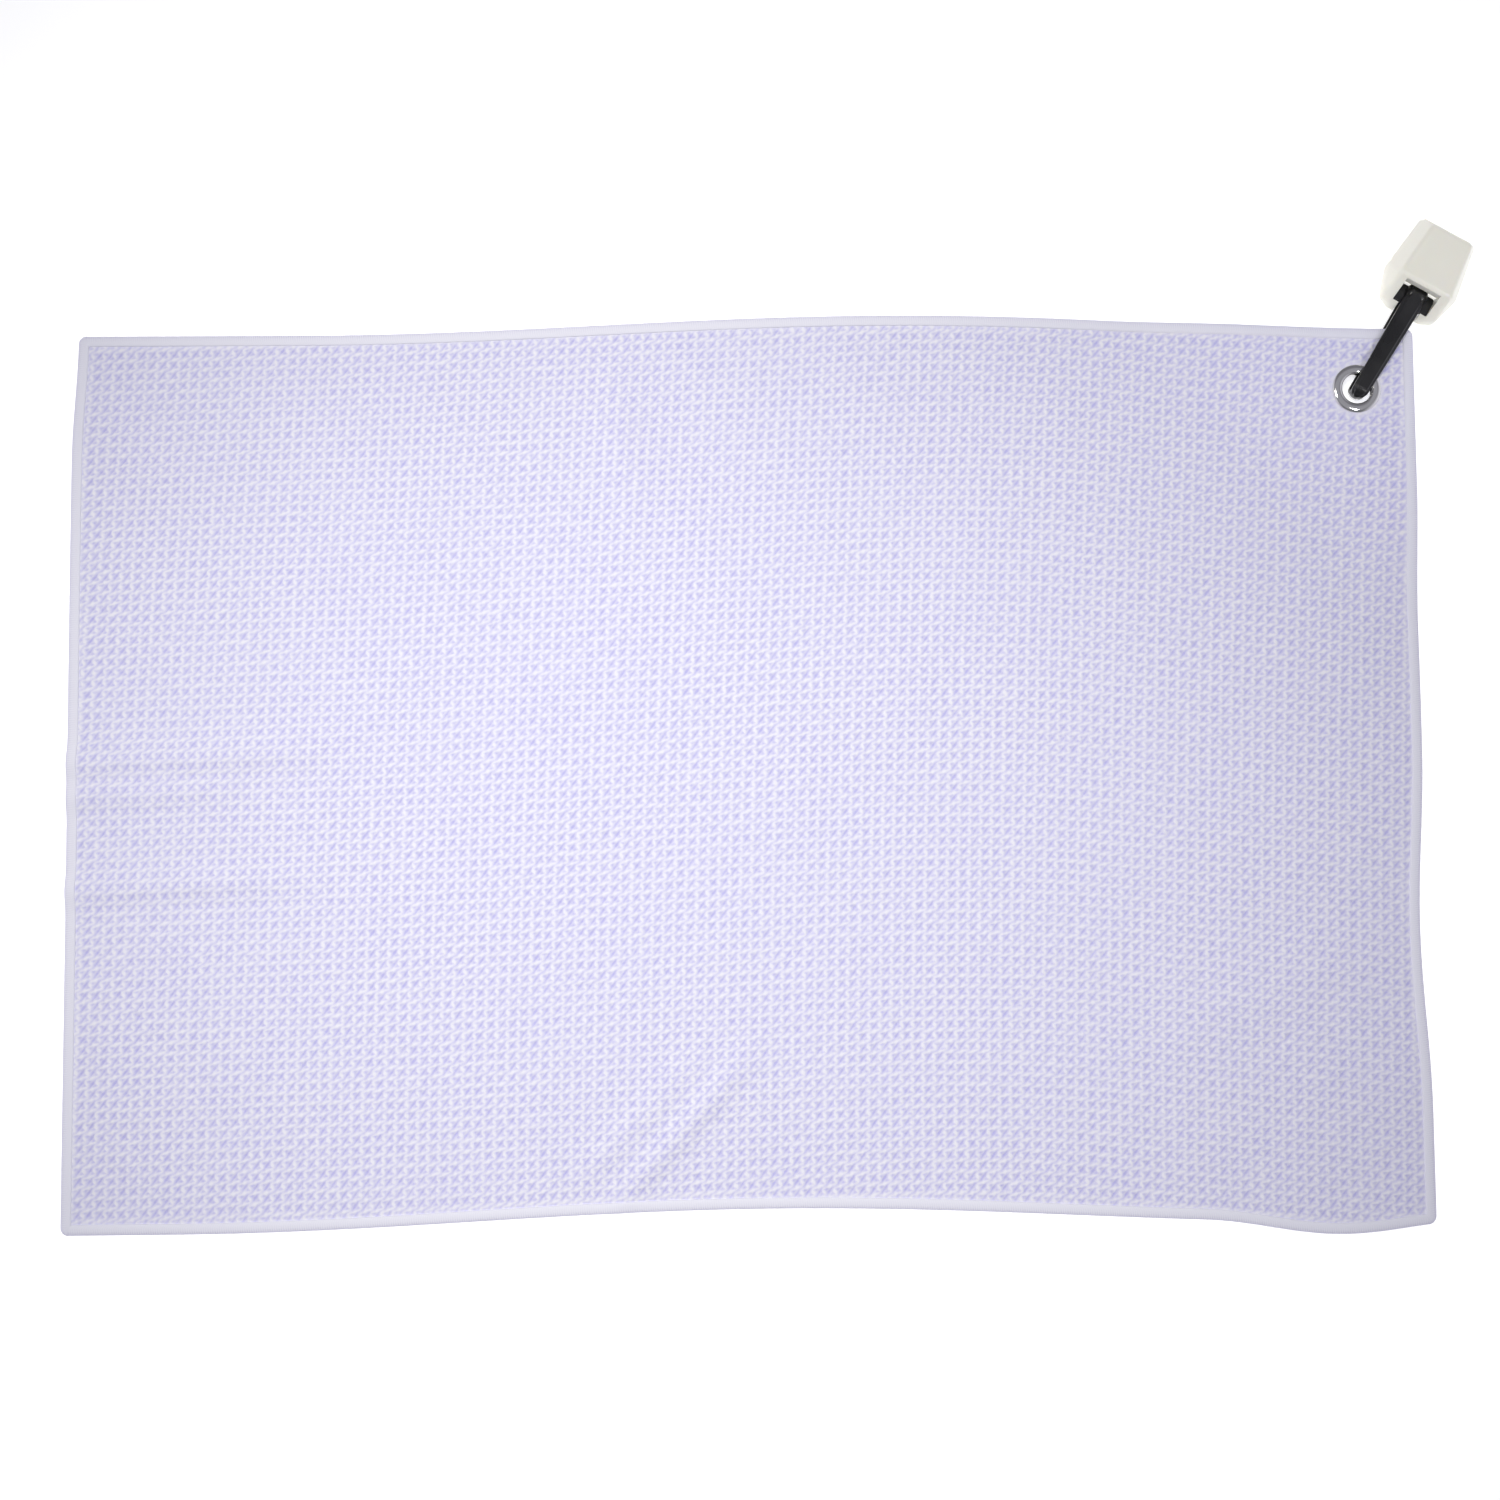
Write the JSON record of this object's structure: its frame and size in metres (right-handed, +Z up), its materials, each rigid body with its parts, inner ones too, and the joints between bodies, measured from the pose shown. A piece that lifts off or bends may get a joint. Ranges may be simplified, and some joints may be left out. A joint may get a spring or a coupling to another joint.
{
  "type": "golf towel",
  "caption": "Rectangular waffle-weave golf towel with overlocked hems, a corner eyelet, a moulded strap loop and a sprung bag clip.",
  "frame": {"origin": "middle of the towel's flat underside, which lies on Z = 0", "axes": "+X along the towel's long side towards the eyelet's end, +Y across it towards the eyelet's edge, +Z up out of the cloth's face"},
  "size_m": [0.6297, 0.4537, 0.0155],
  "materials": {
    "waffle_cloth": "matt microfibre waffle weave",
    "hem_thread": "matt overlock thread",
    "eyelet_metal": "bright nickel plate",
    "strap_plastic": "satin black moulded plastic",
    "clip_plastic": "semi-gloss cream-white moulded plastic",
    "pin_steel": "plain ground steel",
    "spring_steel": "drawn spring wire",
    "pad_rubber": "matt ribbed rubber"
  },
  "bodies": {
    "towel": {"towel_cloth": "waffle_cloth", "hem_top": "hem_thread", "hem_bottom": "hem_thread", "hem_left": "hem_thread", "hem_right": "hem_thread", "eyelet_front": "eyelet_metal", "eyelet_back": "eyelet_metal"},
    "strap": {"strap_loop": "strap_plastic"},
    "clip": {"clip_body": "clip_plastic", "hinge_pin": "pin_steel", "torsion_spring": "spring_steel", "upper_pad": "pad_rubber"},
    "jaw": {"clip_jaw": "clip_plastic", "lower_pad": "pad_rubber"}
  },
  "joints": [
    {"name": "strap_swing", "type": "hinge", "parent": "towel", "child": "strap", "pos_m": [0.2736, 0.1708, 0.00485], "axis": [0, 0, 1], "range_deg": [-85, 60]},
    {"name": "clip_tilt", "type": "hinge", "parent": "strap", "child": "clip", "pos_m": [0.30134, 0.2129, 0.00485], "axis": [0.8712, -0.4909, 0], "range_deg": [-30, 30]},
    {"name": "jaw_open", "type": "hinge", "parent": "clip", "child": "jaw", "pos_m": [0.30546, 0.22022, 0.006], "axis": [-0.8712, 0.4909, 0], "range_deg": [0, 22], "stiffness_Nm_per_rad": 0.12, "springref_deg": -28.65}
  ]
}
